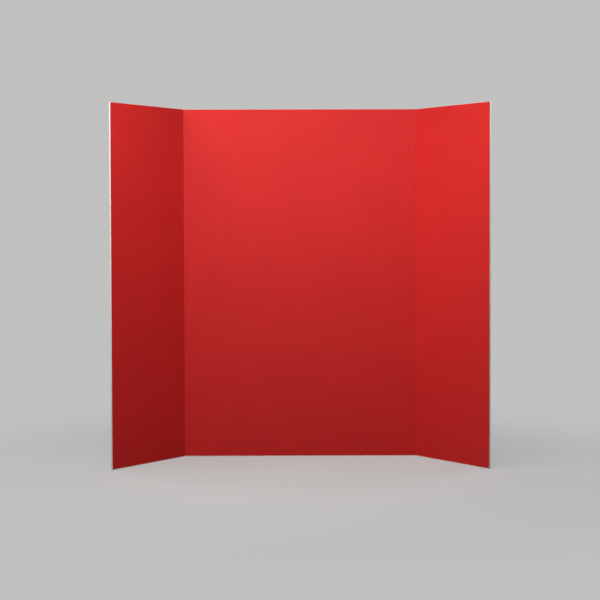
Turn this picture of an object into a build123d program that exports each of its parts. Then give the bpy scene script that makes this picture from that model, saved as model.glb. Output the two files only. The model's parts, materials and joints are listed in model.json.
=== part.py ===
from build123d import *
import math
import os

# A tri-fold display board: one sheet of corrugated board in three panels, standing upright with both
# wings turned forward. Millimetres, +Z up, -Y towards the reader. The origin is on the floor, in the
# middle of the board's footprint.

# Panels. The centre is 24 inches wide and the board 36 inches high, and it opens flat to about 48 inches.
BOARD_HEIGHT = 914.4
CENTRE_WIDTH = 609.6
WING_WIDTH = 303.8  # just under half the centre panel, so that both wings fold flat side by side
WING_ANGLE = 57.2  # degrees, how far each wing stands forward of flat

# Layers of the board, from front to back: red liner, wavy medium, white liner
LINER_THICKNESS = 0.25
FLUTING_DEPTH = 3.6
MEDIUM_THICKNESS = 0.2
FLUTE_PITCH = 7.8
FACETS_PER_FLUTE = 8

# Folds. Each is a slit from the back that leaves the front liner whole, and the scored band of red paper
# beside the slit takes the bend. The paper turns about a vertical line just in front of the board, so
# folded panels lie face to face with a hair's gap.
FOLD_RADIUS = 0.15
SLIT_WIDTH = 0.25
CREASE_WIDTH = 1.5

FOLD_X = CENTRE_WIDTH / 2
BOARD_THICKNESS = 2 * LINER_THICKNESS + FLUTING_DEPTH
WING_REACH = SLIT_WIDTH + WING_WIDTH

# The footprint runs from the wings' front corners to the back of the centre panel
WING_TURN = math.radians(WING_ANGLE)
FRONT_CORNER_DEPTH = WING_REACH * math.sin(WING_TURN) + FOLD_RADIUS * (1 - math.cos(WING_TURN))
FRONT_FACE_Y = (FRONT_CORNER_DEPTH - BOARD_THICKNESS) / 2
FOLD_Y = FRONT_FACE_Y - FOLD_RADIUS


def upright(outline, colour):
    """Raise a plan outline to the full height of the board."""
    solid = extrude(outline, amount=BOARD_HEIGHT, dir=(0, 0, 1))
    solid.color = Color(colour)
    return solid


def liner(left, right, front, colour):
    """A flat sheet of paper between two x positions, with its front face at the given y."""
    strip = Pos((left + right) / 2, front + LINER_THICKNESS / 2) * Rectangle(right - left, LINER_THICKNESS)
    return upright(strip, colour)


def wave_points(left, right):
    """The middle line of the fluting in plan: a sine drawn in straight facets, with flat crests."""
    flutes = round((right - left) / FLUTE_PITCH)
    pitch = (right - left) / flutes
    amplitude = (FLUTING_DEPTH - MEDIUM_THICKNESS) / 2
    middle_y = FRONT_FACE_Y + LINER_THICKNESS + FLUTING_DEPTH / 2
    facet = 2 * math.pi / FACETS_PER_FLUTE
    crest = math.cos(facet / 2)
    points = [(left, middle_y + amplitude)]
    for step in range(flutes * FACETS_PER_FLUTE):
        phase = (step + 0.5) * facet
        x = left + pitch * phase / (2 * math.pi)
        points.append((x, middle_y + amplitude * math.cos(phase) / crest))
    points.append((right, middle_y + amplitude))
    return points


def offset_line(points, distance):
    """A copy of an open line, moved sideways by the same distance from every facet."""
    normals = []
    for (x0, y0), (x1, y1) in zip(points, points[1:]):
        length = math.hypot(x1 - x0, y1 - y0)
        normals.append(((y0 - y1) / length, (x1 - x0) / length))
    before = [normals[0]] + normals
    after = normals + [normals[-1]]
    moved = []
    for (x, y), (ax, ay), (bx, by) in zip(points, before, after):
        mitre = distance / (1 + ax * bx + ay * by)
        moved.append((x + mitre * (ax + bx), y + mitre * (ay + by)))
    return moved


def fluting(left, right):
    """The wavy paper between the liners. Its channels run from the floor to the top edge."""
    line = wave_points(left, right)
    back = offset_line(line, MEDIUM_THICKNESS / 2)
    front = offset_line(line, -MEDIUM_THICKNESS / 2)
    return upright(make_face(Polyline(*back, *reversed(front), close=True)), "ivory")


def panel(left, right, crease_width=0.0):
    """The three layers of one panel in the centre panel's plane. The red liner stops short by the creases."""
    back_liner_y = FRONT_FACE_Y + LINER_THICKNESS + FLUTING_DEPTH
    return {
        "front_liner": liner(left + crease_width, right - crease_width, FRONT_FACE_Y, "firebrick"),
        "fluting": fluting(left, right),
        "back_liner": liner(left, right, back_liner_y, "white"),
    }


def wing(side):
    """A wing of the board, turned forward about its fold. side is -1 on the left and 1 on the right."""
    edges = sorted([side * (FOLD_X + SLIT_WIDTH), side * (FOLD_X + WING_REACH)])
    fold = Axis((side * FOLD_X, FOLD_Y, 0), (0, 0, -side))
    return {layer: solid.rotate(fold, WING_ANGLE) for layer, solid in panel(*edges).items()}


def crease(side):
    """The scored band of red paper at a fold, between the centre panel's red liner and the slit."""
    edges = sorted([side * (FOLD_X - CREASE_WIDTH), side * FOLD_X])
    return liner(*edges, FRONT_FACE_Y, "darkred")


def board():
    """Every node of the board, by name."""
    nodes = {}
    centre = panel(-FOLD_X, FOLD_X, CREASE_WIDTH)
    for name, layers in {"left": wing(-1), "centre": centre, "right": wing(1)}.items():
        for layer, solid in layers.items():
            nodes[f"{name}_{layer}"] = solid
    nodes["left_fold_crease"] = crease(-1)
    nodes["right_fold_crease"] = crease(1)
    return nodes


os.makedirs("parts", exist_ok=True)
for node, solid in board().items():
    export_step(solid, f"parts/{node}.step")
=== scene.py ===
"""The looks of a red tri-fold display board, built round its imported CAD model. All lengths are metres.

The board is corrugated: a red liner in front, a wavy medium, and a white liner behind. Each panel's three
sheets are built from the same two functions of place, Panel.squeeze and Panel.trim, so that they stay glued
together where the board is crushed or worn. The red liner carries on over both folds in a narrow strip.
"""

import json
import math

import bpy
import numpy as np
from mathutils import Matrix, Vector


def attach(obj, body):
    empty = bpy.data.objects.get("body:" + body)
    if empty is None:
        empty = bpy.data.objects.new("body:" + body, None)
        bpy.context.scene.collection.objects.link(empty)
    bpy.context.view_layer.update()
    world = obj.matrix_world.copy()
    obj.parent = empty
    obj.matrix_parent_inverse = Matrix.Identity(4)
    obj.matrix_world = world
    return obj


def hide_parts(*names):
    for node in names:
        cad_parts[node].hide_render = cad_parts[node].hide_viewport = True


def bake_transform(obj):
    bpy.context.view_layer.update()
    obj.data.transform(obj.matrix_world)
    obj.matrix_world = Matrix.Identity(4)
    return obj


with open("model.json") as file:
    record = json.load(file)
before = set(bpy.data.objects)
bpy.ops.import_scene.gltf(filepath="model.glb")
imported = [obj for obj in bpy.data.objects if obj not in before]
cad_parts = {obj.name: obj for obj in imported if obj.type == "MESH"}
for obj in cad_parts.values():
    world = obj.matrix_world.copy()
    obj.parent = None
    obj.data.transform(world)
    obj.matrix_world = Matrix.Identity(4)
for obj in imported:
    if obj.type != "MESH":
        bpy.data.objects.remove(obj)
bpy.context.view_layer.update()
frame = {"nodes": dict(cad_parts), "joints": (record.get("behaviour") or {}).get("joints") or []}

UP = np.array([0.0, 0.0, 1.0])

# Corrugated board, as in the CAD model
FLUTE_PITCH = 0.0078
MEDIUM_THICKNESS = 0.0002

# Relief of the board
WASHBOARD = 0.00009  # how far a liner sinks between two flutes
COCKLE = 0.00010  # how far each face of the board is uneven
SLOW_COCKLE_ACROSS = 0.19  # wavelengths of the cockle
SLOW_COCKLE_UP = 0.23
QUICK_COCKLE_ACROSS = 0.061
QUICK_COCKLE_UP = 0.083
QUICK_COCKLE_SLANT = 0.3  # how much the quick cockle shifts across for each metre up
EDGE_CRUSH = 0.00030  # thickness lost where the knife crushed the cut edges
EDGE_CRUSH_REACH = 0.0035
EDGE_WOBBLE = 0.00012  # unevenness of the knife's line
SIDE_WOBBLE_LENGTH = 0.05
END_WOBBLE_LENGTH = 0.04
CORNER_RADIUS = 0.0016  # the blunted outer corners
FLUTE_LEAN = 0.00045  # how far flutes are pushed over at the top and bottom edges
FLUTE_LEAN_LENGTH = 0.035
FLUTE_LEAN_REACH = 0.006

# Folds
STRIP_REACH = 0.003  # how far the strip of red paper over a fold runs onto each panel
STRIP_LINES = (0.0003, 0.0009, 0.0018, STRIP_REACH)  # its grid lines, from the fold outwards
FOLD_FADE = 0.006  # relief dies out over this distance next to a fold
BEND_STEPS = 10

# Meshes
LINER_COLUMNS_PER_FLUTE = 4
FLUTING_COLUMNS_PER_FLUTE = 16
LINER_ROW_SPACING = 0.016
FLUTING_ROW_SPACING = 0.128
END_LINES = (0.0003, 0.0007, 0.0012, 0.0018, 0.0026, 0.0038, 0.0055, 0.008)  # at the top and the foot
SIDE_LINES = (0.0003, 0.0007, 0.0012, 0.0018, 0.0026)
SHARP_ANGLE = math.radians(40)

# Camera, measured from the foot of the centre panel's front face
CAMERA_SIDE = -0.033
CAMERA_DISTANCE = 4.438
CAMERA_HEIGHT = 0.588
CAMERA_YAW = math.radians(0.43)
CAMERA_PITCH = math.radians(-2.255)
CAMERA_ROLL = math.radians(-0.121)
CAMERA_LENS_MM = 101.1
CAMERA_SENSOR_MM = 36.0


def smooth_step(value):
    """0 below 0, 1 above 1, and a smooth rise between."""
    t = np.clip(value, 0.0, 1.0)
    return t * t * (3 - 2 * t)


def ripple(x, wavelength, start):
    """An uneven line between -1 and 1, made of three sines whose lengths don't fit one another."""
    turns = 2 * math.pi * x / wavelength
    long_wave = np.sin(turns + start)
    middle_wave = np.sin(1.73 * turns + 2.1 * start)
    short_wave = np.sin(2.91 * turns + 3.7 * start)
    return (long_wave + middle_wave + short_wave) / 3


# ---------------------------------------------------------------- the frame


def span(node, origin, direction):
    """Least and greatest distance of a CAD node from a point, along a direction."""
    corners = np.array([v.co for v in frame["nodes"][node].data.vertices], float)
    reach = (corners - origin) @ direction
    return float(reach.min()), float(reach.max())


class Panel:
    """One panel of the board. Its places are u, to the reader's right, depth, backwards, and z, up.

    u and depth are counted from the axis of a wing's own fold, or of the centre panel's left fold, which
    runs a hair in front of the board. folds holds the u of each fold's axis, cut names the sides that a
    knife cut, and sheet_start is how far right of the left fold the panel starts on the flat sheet.
    """

    def __init__(self, name, body, origin, along, folds, cut, sheet_start=0.0):
        self.name = name
        self.body = body
        self.origin = np.array(origin, float)
        self.along = np.array(along, float)
        self.back = np.cross(UP, self.along)
        self.left, self.right = span(f"{name}_fluting", self.origin, self.along)
        self.front, inner_front = span(f"{name}_front_liner", self.origin, self.back)
        inner_back, self.rear = span(f"{name}_back_liner", self.origin, self.back)
        self.foot, self.top = span(f"{name}_fluting", self.origin, UP)
        self.liner = inner_front - self.front
        self.half_fluting = (inner_back - inner_front) / 2
        self.middle = (inner_back + inner_front) / 2
        self.folds = folds
        self.cut = [getattr(self, side) for side in cut]
        self.flutes = round((self.right - self.left) / FLUTE_PITCH)
        self.sheet_start = sheet_start
        self.seed = 1.0 + len(name)  # gives each panel uneven lines of its own

    def place(self, u, depth, z):
        """Positions, in the CAD model's frame, of points of the panel."""
        across = np.multiply.outer(u, self.along)
        backwards = np.multiply.outer(depth, self.back)
        return self.origin + across + backwards + np.multiply.outer(z, UP)

    def ends(self, inset):
        """The panel's left and right ends, kept at least an inset away from the folds' axes."""
        middle = (self.left + self.right) / 2
        start = max([self.left] + [fold + inset for fold in self.folds if fold < middle])
        end = min([self.right] + [fold - inset for fold in self.folds if fold > middle])
        return start, end

    def phase(self, u):
        """The flutes' wave, in radians. It is 0 where the medium touches the white liner."""
        return 2 * math.pi * self.flutes * (u - self.left) / (self.right - self.left)

    def from_fold(self, u):
        """0 at a fold, 1 away from it."""
        fade = np.ones_like(u)
        for fold in self.folds:
            fade = fade * smooth_step((abs(u - fold) - STRIP_REACH) / FOLD_FADE)
        return fade

    def to_cut_edge(self, u, z):
        """Distance to the nearest cut edge: the top, the foot, and an outer side."""
        distance = np.minimum(z - self.foot, self.top - z)
        for edge in self.cut:
            distance = np.minimum(distance, abs(u - edge))
        return distance

    def squeeze(self, u, z):
        """How far each liner sits inside its full height over the middle of the board."""
        crush = EDGE_CRUSH / 2 * (1 - smooth_step(self.to_cut_edge(u, z) / EDGE_CRUSH_REACH))
        slow = ripple(u, SLOW_COCKLE_ACROSS, self.seed) * ripple(z, SLOW_COCKLE_UP, self.seed + 1)
        slanted = ripple(u + QUICK_COCKLE_SLANT * z, QUICK_COCKLE_ACROSS, self.seed + 2)
        quick = slanted * ripple(z, QUICK_COCKLE_UP, self.seed + 3)
        cockle = COCKLE * (0.5 + 0.3 * slow + 0.2 * quick)
        return (crush + cockle) * self.from_fold(u)

    def trim(self, u, z):
        """Moves points near the cut edges onto the knife's uneven line and round the blunted corners."""
        ends = ((z - self.foot, 1), (self.top - z, -1))  # distance to each end, and its inward direction
        for edge in self.cut:
            inward = 1 if edge == self.left else -1
            to_side = abs(u - edge)
            for to_end, lift in ends:
                near_side = np.clip(1 - to_side / CORNER_RADIUS, 0, 1)
                near_end = np.clip(1 - to_end / CORNER_RADIUS, 0, 1)
                u = u + inward * CORNER_RADIUS * near_side * (1 - np.sqrt(1 - near_end * near_end / 2))
                z = z + lift * CORNER_RADIUS * near_end * (1 - np.sqrt(1 - near_side * near_side / 2))
            near = 1 - smooth_step(to_side / EDGE_CRUSH_REACH)
            u = u + inward * EDGE_WOBBLE * near * (0.5 + 0.5 * ripple(z, SIDE_WOBBLE_LENGTH, self.seed))
        for to_end, lift in ends:
            near = (1 - smooth_step(to_end / EDGE_CRUSH_REACH)) * self.from_fold(u)
            z = z + lift * EDGE_WOBBLE * near * (0.5 + 0.5 * ripple(u, END_WOBBLE_LENGTH, self.seed + lift))
        return u, z


def find_panels():
    """The three panels, placed by the CAD model's folds."""
    folds = {joint["child"]: joint for joint in frame["joints"]}
    left_fold = np.array(folds["left_wing"]["pos_m"])
    right_fold = np.array(folds["right_wing"]["pos_m"])
    turn = math.radians(-folds["left_wing"]["range_deg"][0])
    left_along = (math.cos(turn), math.sin(turn), 0)
    right_along = (math.cos(turn), -math.sin(turn), 0)
    width = float(right_fold[0] - left_fold[0])
    return (
        Panel("left", "left_wing", left_fold, left_along, [0.0], ["left"]),
        Panel("centre", "centre_panel", left_fold, (1, 0, 0), [0.0, width], []),
        Panel("right", "right_wing", right_fold, right_along, [0.0], ["right"], sheet_start=width),
    )


# ---------------------------------------------------------------- meshes


def grid_lines(start, end, spacing, fine):
    """Grid lines from start to end, about a spacing apart, with finer ones next to both ends."""
    even = np.linspace(start, end, max(1, round((end - start) / spacing)) + 1)
    near = np.array(fine)
    keep = even[(even - start > near[-1]) & (end - even > near[-1])]
    return np.unique(np.concatenate([[start, end], start + near, end - near, keep]))


def add_piece(name, points, quads, slots, uvs, point_values, materials):
    """A mesh object from arrays. slots gives each face's material, and uvs each point's place on the sheet.

    point_values holds named values for each point, which the materials read.
    """
    mesh = bpy.data.meshes.new(name)
    mesh.from_pydata(points.tolist(), [], quads.tolist())
    for material in materials:
        mesh.materials.append(material)
    mesh.polygons.foreach_set("material_index", slots.astype(np.int32))
    corner_points = np.empty(len(mesh.loops), np.int32)
    mesh.loops.foreach_get("vertex_index", corner_points)
    layer = mesh.uv_layers.new(name="panel")
    layer.data.foreach_set("uv", uvs[corner_points].astype(np.float32).ravel())
    for label, values in point_values.items():
        attribute = mesh.attributes.new(label, "FLOAT", "POINT")
        attribute.data.foreach_set("value", values.astype(np.float32))
    mesh.validate()
    mesh.update()
    piece = bpy.data.objects.new(name, mesh)
    bpy.context.scene.collection.objects.link(piece)
    mesh.polygons.foreach_set("use_smooth", np.ones(len(mesh.polygons), bool))
    mesh.set_sharp_from_angle(angle=SHARP_ANGLE)
    return piece


def closed_sheet(near, far):
    """Points and quads of a closed sheet, from two grids of points: rows of (column, xyz).

    Returns points, quads, and for each quad 0 on the near side, 1 on the far side and 2 on the rim.
    """
    rows, columns = near.shape[:2]
    points = np.concatenate([near.reshape(-1, 3), far.reshape(-1, 3)])
    number = np.arange(rows * columns).reshape(rows, columns)
    corners = [number[:-1, :-1], number[:-1, 1:], number[1:, 1:], number[1:, :-1]]
    near_quads = np.stack(corners, -1).reshape(-1, 4)
    far_quads = np.stack(corners[::-1], -1).reshape(-1, 4) + rows * columns
    border = np.concatenate([number[0, :-1], number[:-1, -1], number[-1, :0:-1], number[:0:-1, 0]])
    after = np.roll(border, -1)
    rim = np.stack([after, border, border + rows * columns, after + rows * columns], -1)
    sides = np.concatenate([np.full(len(near_quads), 0), np.full(len(far_quads), 1), np.full(len(rim), 2)])
    return points, np.concatenate([near_quads, far_quads, rim]), sides


def sheet_piece(name, panel, u, z, near, far, side_slots, materials):
    """A closed sheet of a panel between two surfaces. near and far give (u, depth) for grids of u and z."""
    columns, rows = np.meshgrid(u, z)
    worn_u, worn_z = panel.trim(columns, rows)
    surfaces = []
    for surface in (near, far):
        across, depth = surface(columns, rows)
        surfaces.append(panel.place(worn_u + across - columns, depth, worn_z))
    points, quads, sides = closed_sheet(*surfaces)
    uvs = np.tile(np.stack([columns + panel.sheet_start, rows], -1).reshape(-1, 2), (2, 1))
    point_values = {
        "edge_distance": np.tile(panel.to_cut_edge(columns, rows).ravel(), 2),
        "flute_phase": np.tile(panel.phase(columns).ravel(), 2),
    }
    slots = np.array(side_slots)[sides]
    return add_piece(name, points, quads, slots, uvs, point_values, materials)


def liner_columns(panel, inset):
    """Columns for a liner, several to a flute, that stops an inset short of the folds."""
    start, end = panel.ends(inset)
    return grid_lines(start, end, FLUTE_PITCH / LINER_COLUMNS_PER_FLUTE, SIDE_LINES)


def panel_rows(panel, spacing):
    """Rows for a sheet, from the foot to the top."""
    return grid_lines(panel.foot, panel.top, spacing, END_LINES)


def build_front_liner(panel, papers):
    """The red liner. It stops where the strips over the folds begin, and shows white paper when cut."""

    def outer(u, z):
        sink = WASHBOARD * (1 + np.cos(panel.phase(u))) / 2 * panel.from_fold(u)
        return u, panel.front + panel.squeeze(u, z) + sink

    def inner(u, z):
        across, depth = outer(u, z)
        return across, depth + panel.liner

    u = liner_columns(panel, STRIP_REACH)
    z = panel_rows(panel, LINER_ROW_SPACING)
    materials = [papers["red"], papers["white"]]
    piece = sheet_piece(f"{panel.name}_red_liner", panel, u, z, outer, inner, (0, 1, 1), materials)
    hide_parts(f"{panel.name}_front_liner")
    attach(piece, panel.body)


def build_back_liner(panel, papers):
    """The white liner at the back, cut through at the folds."""

    def outer(u, z):
        sink = WASHBOARD * (1 - np.cos(panel.phase(u))) / 2
        return u, panel.rear - panel.squeeze(u, z) - sink

    def inner(u, z):
        across, depth = outer(u, z)
        return across, depth - panel.liner

    u = liner_columns(panel, 0.0)
    z = panel_rows(panel, LINER_ROW_SPACING)
    piece = sheet_piece(f"{panel.name}_white_liner", panel, u, z, inner, outer, (0, 0, 0), [papers["white"]])
    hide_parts(f"{panel.name}_back_liner")
    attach(piece, panel.body)


def build_fluting(panel, papers):
    """The wavy medium, a sine between the liners that leans a little where the knife pushed it."""
    wave_number = 2 * math.pi * panel.flutes / (panel.right - panel.left)
    half_medium = MEDIUM_THICKNESS / 2

    def surface(side):
        def shape(u, z):
            near_edge = 1 - smooth_step(np.minimum(z - panel.foot, panel.top - z) / FLUTE_LEAN_REACH)
            end = smooth_step(np.minimum(u - panel.left, panel.right - u) / FOLD_FADE)
            upper = (z > (panel.foot + panel.top) / 2).astype(float)
            lean = FLUTE_LEAN * near_edge * end * ripple(u, FLUTE_LEAN_LENGTH, panel.seed + upper)
            amplitude = panel.half_fluting - panel.squeeze(u, z) - half_medium
            slope = -amplitude * wave_number * np.sin(panel.phase(u))
            length = np.sqrt(1 + slope * slope)
            across = u + lean - side * half_medium * slope / length
            depth = panel.middle + amplitude * np.cos(panel.phase(u)) + side * half_medium / length
            return across, depth

        return shape

    u = np.linspace(panel.left, panel.right, panel.flutes * FLUTING_COLUMNS_PER_FLUTE + 1)
    z = panel_rows(panel, FLUTING_ROW_SPACING)
    name = f"{panel.name}_medium"
    piece = sheet_piece(name, panel, u, z, surface(-1), surface(1), (0, 0, 0), [papers["medium"]])
    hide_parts(f"{panel.name}_fluting")
    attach(piece, panel.body)


def fold_section(panel, side, turn):
    """The strip's section at a fold: for each column its u, its direction from the axis, and its way along.

    side is -1 at the centre panel's left end and 1 at its right. The section runs from the centre panel,
    round the axis, onto the wing.
    """
    flat = np.array(STRIP_LINES)
    bend = np.linspace(0, turn, BEND_STEPS + 1)
    angles = np.concatenate([np.zeros(len(flat)), bend, np.full(len(flat), turn)])
    along = np.concatenate([-flat[::-1], np.zeros(BEND_STEPS + 1), flat])
    outward = side * panel.along
    radial = np.outer(np.cos(angles), panel.back) + np.outer(np.sin(angles), outward)
    tangent = np.outer(np.cos(angles), outward) - np.outer(np.sin(angles), panel.back)
    return along, radial, tangent


def build_fold_strip(centre, wing, side, papers):
    """The red paper over a fold, bent round the joint's axis between the centre panel and a wing."""
    turn = math.acos(float(centre.along @ wing.along))
    along, radial, tangent = fold_section(centre, side, turn)
    fold = wing.origin
    z = panel_rows(centre, LINER_ROW_SPACING)
    order = slice(None, None, side)  # from left to right
    surfaces = []
    for reach in (centre.front, centre.front + centre.liner):
        section = (fold + radial * reach + tangent * along[:, None])[order]
        surfaces.append(section[None] + np.multiply.outer(z, UP)[:, None])
    points, quads, sides = closed_sheet(*surfaces)
    across, rows = np.meshgrid(side * along[order], z)
    from_left = across + float((fold - centre.origin) @ centre.along)
    uvs = np.tile(np.stack([from_left, rows], -1).reshape(-1, 2), (2, 1))
    point_values = {
        "edge_distance": np.tile(np.minimum(rows - centre.foot, centre.top - rows).ravel(), 2),
        "fold_distance": np.tile(abs(across).ravel(), 2),
    }
    slots = np.array((0, 1, 1))[sides]
    name = f"{wing.name}_fold_strip"
    piece = add_piece(name, points, quads, slots, uvs, point_values, [papers["crease"], papers["white"]])
    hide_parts(f"{wing.name}_fold_crease")
    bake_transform(piece)


# ---------------------------------------------------------------- materials

NOISE_RANGE = (0.3, 0.7)  # most of a noise's values lie between these


class Shader:
    """A new material with a Principled shader, and short calls for the nodes that the papers use."""

    def __init__(self, name):
        self.material = bpy.data.materials.new(name)
        self.material.use_nodes = True
        self.tree = self.material.node_tree
        self.principled = self.tree.nodes["Principled BSDF"]

    def feed(self, socket, value):
        """Links a socket, or sets a plain value."""
        if isinstance(value, bpy.types.NodeSocket):
            self.tree.links.new(value, socket)
        else:
            socket.default_value = value

    def node(self, kind, inputs, **settings):
        """A node with its inputs fed by name or number."""
        made = self.tree.nodes.new(kind)
        for key, value in settings.items():
            setattr(made, key, value)
        for key, value in inputs.items():
            self.feed(made.inputs[key], value)
        return made

    def math(self, operation, a, b=0.0):
        """The result of an operation on one or two values."""
        return self.node("ShaderNodeMath", {0: a, 1: b}, operation=operation).outputs[0]

    def product(self, first, *others):
        """All the values multiplied together."""
        for other in others:
            first = self.math("MULTIPLY", first, other)
        return first

    def value(self, name):
        """One of the values that the mesh holds for each point."""
        return self.node("ShaderNodeAttribute", {}, attribute_name=name).outputs["Fac"]

    def place(self, stretch):
        """The point's place on the sheet, in metres, stretched by a factor across and up."""
        uv = self.node("ShaderNodeUVMap", {}, uv_map="panel").outputs[0]
        return self.node("ShaderNodeMapping", {"Vector": uv, "Scale": (*stretch, 1)}).outputs[0]

    def height(self):
        """Metres above the floor, when the board stands."""
        return self.node("ShaderNodeSeparateXYZ", {0: self.place((1, 1))}).outputs["Y"]

    def noise(self, size, stretch=(1, 1), detail=3.0, roughness=0.55, seed=0.0):
        """Noise between 0 and 1 whose blotches are about a size across."""
        made = self.node("ShaderNodeTexNoise", {
            "Vector": self.place(stretch), "W": seed, "Scale": 1 / size, "Detail": detail,
            "Roughness": roughness}, noise_dimensions="4D")
        return made.outputs["Fac"]

    def ramp(self, value, low, high, to_low=0.0, to_high=1.0):
        """Maps low..high onto to_low..to_high, held at both ends, with a smooth rise."""
        return self.node("ShaderNodeMapRange", {
            "Value": value, "From Min": low, "From Max": high, "To Min": to_low, "To Max": to_high},
            interpolation_type="SMOOTHSTEP").outputs[0]

    def spots(self, noise, low, high, strength):
        """0 where a noise is below low, rising to a strength where it is above high."""
        return self.ramp(noise, low, high, 0, strength)

    def uneven(self, noise, amount):
        """A grey value near 1 that a noise makes uneven by an amount either way."""
        return self.ramp(noise, *NOISE_RANGE, 1 - amount, 1 + amount)

    def mix(self, share, a, b, blend="MIX"):
        """Mixes two colours."""
        made = self.node("ShaderNodeMix", {0: share, 6: a, 7: b}, data_type="RGBA", blend_type=blend)
        return made.outputs[2]

    def shade(self, colour, *values):
        """A colour multiplied by grey values that are about 1."""
        value = self.product(*values)
        grey = self.node("ShaderNodeCombineColor", {0: value, 1: value, 2: value}).outputs[0]
        return self.mix(1.0, colour, grey, blend="MULTIPLY")

    def finish(self, colour, roughness, height, depth, specular):
        """Feeds the Principled shader. height, between 0 and 1, is raised by depth metres."""
        self.feed(self.principled.inputs["Base Color"], colour)
        self.feed(self.principled.inputs["Roughness"], roughness)
        self.feed(self.principled.inputs["Specular IOR Level"], specular)
        bump = self.node("ShaderNodeBump", {"Height": height, "Distance": depth, "Strength": 1.0})
        self.feed(self.principled.inputs["Normal"], bump.outputs[0])
        return self.material


RED = (0.62, 0.026, 0.024, 1)
WORN_RED = (0.70, 0.20, 0.17, 1)
WHITE = (0.80, 0.775, 0.73, 1)
MEDIUM = (0.86, 0.84, 0.79, 1)
SPECK = (0.36, 0.27, 0.20, 1)
SOIL = (0.42, 0.36, 0.30, 1)
ACROSS_THE_FLUTES = (0.5, 1)  # papermaking fibres lie mostly this way

# how far from a fold the red paper is painted darker, as painted shade in the crease
PAINTED_CREASE_SHADE_REACH = 0.0014
CRACKS_FADE = (0.0001, 0.0006)  # cracks in the print over a fold fade out between these distances from it
EDGE_WEAR = 0.0011  # how far in from a cut edge the print may be worn off
FOOT_WEAR = 0.0024  # how much further in that may be along the foot
FOOT_WEAR_HEIGHT = 0.02
WEAR_FADE = (-0.0004, 0.0001)  # worn places fade out between these distances from their own edge
SOILED_REACH = 0.02  # how far in from a cut edge the white paper is soiled


def glue_lines(s, side, depth):
    """Grey values near 1, darker by a depth where the liner on one side is glued to the flutes."""
    crest = s.product(s.math("COSINE", s.value("flute_phase")), side)
    return s.ramp(crest, 0.6, 1.0, to_low=1.0, to_high=1 - depth)


def bare_paper(s):
    """How much white paper shows where the print is worn off along the cut edges, mostly at the foot."""
    edge_wear = s.product(s.noise(size=0.0016, detail=4, seed=17), EDGE_WEAR)
    foot_reach = s.ramp(s.height(), 0.0, FOOT_WEAR_HEIGHT, to_low=FOOT_WEAR, to_high=0)
    foot_wear = s.product(s.noise(size=0.006, detail=5, seed=19), foot_reach)
    beyond = s.math("SUBTRACT", s.value("edge_distance"), s.math("ADD", edge_wear, foot_wear))
    return s.ramp(beyond, *WEAR_FADE, to_low=0.85, to_high=0)


def crease_cracks_and_painted_shade(s, colour):
    """A colour with painted shade along a fold, standing in for the shade that falls in the crease, and with
    its print cracked here and there.
    """
    across = s.value("fold_distance")
    # painted shade: the red darkens towards the fold line, standing in for the shade that falls in the crease
    painted_shade_colour = s.shade(colour, s.ramp(across, 0.0, PAINTED_CREASE_SHADE_REACH, to_low=0.86, to_high=1))
    cracks = s.noise(size=0.0022, stretch=(1, 0.25), detail=5, roughness=0.7, seed=23)
    cracks = s.product(s.spots(cracks, 0.58, 0.72, strength=0.5), s.ramp(across, *CRACKS_FADE, 1, 0))
    return s.mix(cracks, painted_shade_colour, WORN_RED)


def red_paper(name, folded):
    """Red-printed liner: print mottle, fibres, rubbed patches, and white paper where it is worn.

    The paper over a fold has cracked print and painted shade along the crease. Elsewhere its glue lines show
    faintly.
    """
    s = Shader(name)
    cloud = s.uneven(s.noise(size=0.12, detail=2), amount=0.022)
    mottle = s.uneven(s.noise(size=0.012, detail=4, seed=3), amount=0.022)
    fibres = s.noise(size=0.0006, stretch=ACROSS_THE_FLUTES, detail=4, roughness=0.65, seed=7)
    colour = s.shade(RED, cloud, mottle, s.uneven(fibres, amount=0.05))
    patches = s.noise(size=0.045, stretch=(1, 2.6), detail=6, roughness=0.7, seed=11)
    rubbed = s.spots(patches, 0.62, 0.8, strength=0.16)
    colour = s.mix(rubbed, colour, WORN_RED)
    if folded:
        colour = crease_cracks_and_painted_shade(s, colour)
    else:
        colour = s.shade(colour, glue_lines(s, -1, depth=0.02))
    colour = s.mix(bare_paper(s), colour, WHITE)
    roughness = s.math("ADD", s.ramp(fibres, 0.2, 0.8, to_low=0.44, to_high=0.58), rubbed)
    return s.finish(colour, roughness, height=fibres, depth=0.00002, specular=0.07)


def white_paper():
    """Uncoated recycled white liner: cloudy formation, glue lines, sparse specks, and soil near the edges."""
    s = Shader("white_liner_paper")
    cloud = s.uneven(s.noise(size=0.05, detail=4), amount=0.018)
    fibres = s.noise(size=0.0007, stretch=ACROSS_THE_FLUTES, detail=4, roughness=0.65, seed=5)
    colour = s.shade(WHITE, cloud, s.uneven(fibres, amount=0.04), glue_lines(s, 1, depth=0.035))
    specks = s.noise(size=0.0017, stretch=(0.6, 1), detail=2, seed=9)
    colour = s.mix(s.spots(specks, 0.70, 0.76, strength=0.55), colour, SPECK)
    scuffs = s.noise(size=0.06, stretch=(1, 2.2), detail=7, roughness=0.72, seed=15)
    colour = s.mix(s.spots(scuffs, 0.64, 0.78, strength=0.12), colour, SOIL)
    near_edge = s.ramp(s.value("edge_distance"), 0.0, SOILED_REACH, to_low=0.35, to_high=0)
    colour = s.mix(s.product(near_edge, s.noise(size=0.02, detail=6, seed=21)), colour, SOIL)
    roughness = s.ramp(fibres, 0.2, 0.8, to_low=0.68, to_high=0.86)
    return s.finish(colour, roughness, height=fibres, depth=0.00003, specular=0.25)


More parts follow.
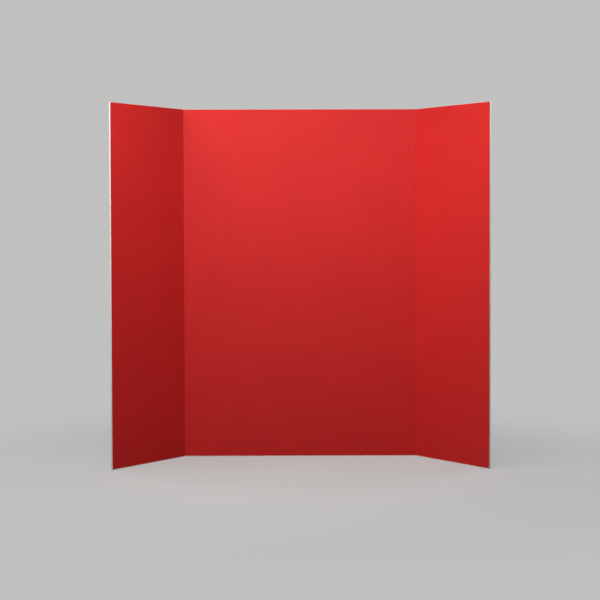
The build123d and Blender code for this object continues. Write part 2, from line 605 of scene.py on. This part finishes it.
def medium_paper():
    """The rough off-white paper of the flutes, its fibres lying round the wave."""
    s = Shader("fluting_paper")
    cloud = s.uneven(s.noise(size=0.02, detail=4), amount=0.06)
    fibres = s.noise(size=0.0009, stretch=ACROSS_THE_FLUTES, detail=5, roughness=0.7, seed=6)
    colour = s.shade(MEDIUM, cloud, s.uneven(fibres, amount=0.1))
    specks = s.noise(size=0.0015, detail=2, seed=13)
    colour = s.mix(s.spots(specks, 0.68, 0.75, strength=0.5), colour, SPECK)
    return s.finish(colour, roughness=0.85, height=fibres, depth=0.00006, specular=0.2)


# ---------------------------------------------------------------- studio

BACKDROP = (0.53, 0.53, 0.525, 1)
FLOOR = (0.60, 0.60, 0.59, 1)
FLOOR_BOUNCE = (0.22, 0.22, 0.22, 1)  # the floor throws less light back at the board than a pale one would
FLOOR_RADIUS = 60.0
FLOOR_FADE = (0.4, 1.6)  # between these distances the floor turns into the backdrop
NEAR_SHARE = 0.6  # the backdrop's share of the floor's colour at the board
WORLD_COLOUR = (1, 0.985, 0.96, 1)
WORLD_LIGHT = 0.015


def floor_material():
    """A matt pale floor that the camera sees turn into the backdrop's colour, so that no horizon shows."""
    s = Shader("studio_floor")
    place = s.node("ShaderNodeNewGeometry", {}).outputs["Position"]
    distance = s.node("ShaderNodeVectorMath", {0: place}, operation="LENGTH").outputs["Value"]
    seen = s.node("ShaderNodeLightPath", {}).outputs["Is Camera Ray"]
    s.feed(s.principled.inputs["Base Color"], s.mix(seen, FLOOR_BOUNCE, FLOOR))
    s.feed(s.principled.inputs["Roughness"], 0.8)
    s.feed(s.principled.inputs["Specular IOR Level"], 0.1)
    far = s.node("ShaderNodeEmission", {"Color": BACKDROP, "Strength": 1.0}).outputs[0]
    share = s.product(s.ramp(distance, *FLOOR_FADE, NEAR_SHARE, 1.0), seen)
    mixed = s.node("ShaderNodeMixShader", {0: share, 1: s.principled.outputs[0], 2: far}).outputs[0]
    s.feed(s.tree.nodes["Material Output"].inputs["Surface"], mixed)
    return s.material


def build_floor():
    """A square of floor, wide enough to meet the backdrop out of sight."""
    mesh = bpy.data.meshes.new("studio_floor")
    r = FLOOR_RADIUS
    mesh.from_pydata([(-r, -r, 0), (r, -r, 0), (r, r, 0), (-r, r, 0)], [], [(0, 1, 2, 3)])
    mesh.materials.append(floor_material())
    floor = bpy.data.objects.new("studio_floor", mesh)
    bpy.context.scene.collection.objects.link(floor)


def build_world():
    """A little even light from all round. The camera sees the backdrop's colour instead."""
    world = bpy.data.worlds.new("studio")
    bpy.context.scene.world = world
    world.use_nodes = True
    tree = world.node_tree
    seen = tree.nodes.new("ShaderNodeLightPath").outputs["Is Camera Ray"]
    lit = tree.nodes["Background"]
    lit.inputs["Color"].default_value = WORLD_COLOUR
    lit.inputs["Strength"].default_value = WORLD_LIGHT
    shown = tree.nodes.new("ShaderNodeBackground")
    shown.inputs["Color"].default_value = BACKDROP
    mix = tree.nodes.new("ShaderNodeMixShader")
    tree.links.new(seen, mix.inputs[0])
    tree.links.new(lit.outputs[0], mix.inputs[1])
    tree.links.new(shown.outputs[0], mix.inputs[2])
    tree.links.new(mix.outputs[0], tree.nodes["World Output"].inputs["Surface"])


def add_softbox(name, place, target, size, power, spread=180):
    """A rectangular lamp at a place, facing a target. The camera doesn't see it."""
    lamp = bpy.data.lights.new(name, "AREA")
    lamp.shape = "RECTANGLE"
    lamp.size, lamp.size_y = size
    lamp.energy = power
    lamp.spread = math.radians(spread)
    softbox = bpy.data.objects.new(name, lamp)
    softbox.location = place
    softbox.rotation_euler = (Vector(target) - Vector(place)).to_track_quat("-Z", "Y").to_euler()
    softbox.visible_camera = False
    bpy.context.scene.collection.objects.link(softbox)


def build_lights(centre):
    """Five softboxes on the reader's side and two behind the board.

    The front ones are high and mostly to the left, because the top of the board is its brightest part. The
    back ones are lower than the board's top edge, so that they don't reach its front.
    """
    add_softbox("wide_ceiling_softbox", (-0.3, -0.75, 1.2), (-0.3, -0.7, 0), size=(2.0, 1.0), power=9.9)
    add_softbox("near_ceiling_softbox", (-0.25, -0.6, 1.25), (-0.25, -0.55, 0), size=(0.8, 0.8), power=2.2)
    add_softbox("front_softbox", (-0.5, -1.6, 1.1), (-0.2, 0.1, 0.6), size=(0.8, 0.8), power=4.7, spread=120)
    add_softbox("top_softbox", (0.2, -0.8, 1.05), (0.2, 0.1, 0.95), size=(1.6, 0.2), power=1.0, spread=90)
    add_softbox("left_softbox", (-0.7, -0.3, 1.5), (0.4, 0, 0.7), size=(0.6, 0.6), power=1.7, spread=90)
    fold_y = centre.origin[1]
    for name, side in (("left_back_softbox", -1), ("right_back_softbox", 1)):
        add_softbox(name, (2.0 * side, 1.3, 0.5), (0.25 * side, fold_y, 0.45), size=(1.2, 0.8), power=34)


def build_camera(centre):
    """The camera at the photograph's viewing angle."""
    camera = bpy.data.objects.new("camera", bpy.data.cameras.new("camera"))
    camera.data.lens = CAMERA_LENS_MM
    camera.data.sensor_width = CAMERA_SENSOR_MM
    front_face = centre.origin[1] + centre.front
    place = Matrix.Translation((CAMERA_SIDE, front_face - CAMERA_DISTANCE, CAMERA_HEIGHT))
    yaw = Matrix.Rotation(-CAMERA_YAW, 4, "Z")
    pitch = Matrix.Rotation(math.pi / 2 + CAMERA_PITCH, 4, "X")
    roll = Matrix.Rotation(CAMERA_ROLL, 4, "Z")
    camera.matrix_world = place @ yaw @ pitch @ roll
    bpy.context.scene.collection.objects.link(camera)
    bpy.context.scene.camera = camera


left, centre, right = find_panels()
papers = {
    "red": red_paper("red_liner_paper", folded=False),
    "crease": red_paper("red_fold_paper", folded=True),
    "white": white_paper(),
    "medium": medium_paper(),
}
for panel in (left, centre, right):
    build_front_liner(panel, papers)
    build_fluting(panel, papers)
    build_back_liner(panel, papers)
build_fold_strip(centre, left, -1, papers)
build_fold_strip(centre, right, 1, papers)

build_floor()
build_world()
build_lights(centre)
build_camera(centre)
bpy.context.scene.view_settings.view_transform = "Standard"
